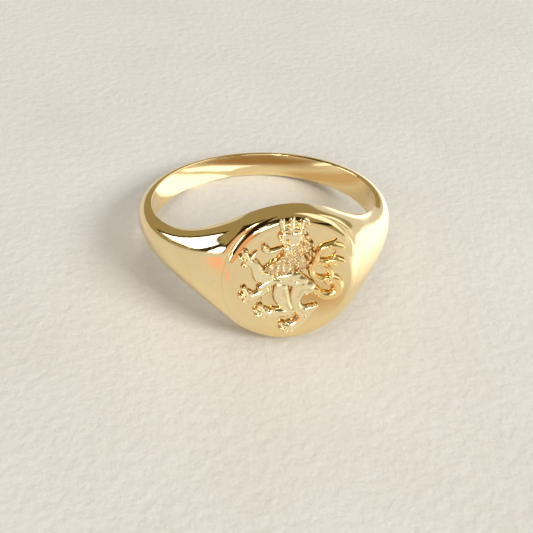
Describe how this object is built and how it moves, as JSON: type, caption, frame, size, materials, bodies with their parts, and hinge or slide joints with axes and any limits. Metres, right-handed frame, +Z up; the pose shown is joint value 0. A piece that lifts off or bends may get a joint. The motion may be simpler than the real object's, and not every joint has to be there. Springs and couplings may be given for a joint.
{
  "type": "signet ring",
  "caption": "Finger ring with a tapering half-round shank, flared shoulders and a nearly round table carrying a crowned heraldic lion in relief, lying on its side.",
  "frame": {"origin": "on the surface the ring lies on, under the middle of its bounding box", "axes": "+Z up from that surface; the table faces -Y and looks slightly upwards; +X is to the right of the lion, whose face looks to -X. The finger axis leans 12.5 degrees from +Z towards +Y, because the wide head rests on its edge."},
  "size_m": [0.0196, 0.0214, 0.0102],
  "materials": {
    "polished_gold": "mirror-polished yellow gold with fine hairline scratches",
    "relief_gold": "bright cast and chased yellow gold, slightly softer than the polished table"
  },
  "bodies": {
    "root": {"shank": "polished_gold", "shoulder_left": "polished_gold", "shoulder_right": "polished_gold", "head_block": "polished_gold", "table_plate": "polished_gold", "lion_crown": "relief_gold", "lion_head": "relief_gold", "lion_tongue": "relief_gold", "lion_mane": "relief_gold", "lion_tail": "relief_gold", "lion_foreleg_upper": "relief_gold", "lion_foreleg_lower": "relief_gold", "lion_hindleg_near": "relief_gold", "lion_hindleg_far": "relief_gold", "lion_body": "relief_gold"}
  },
  "joints": []
}
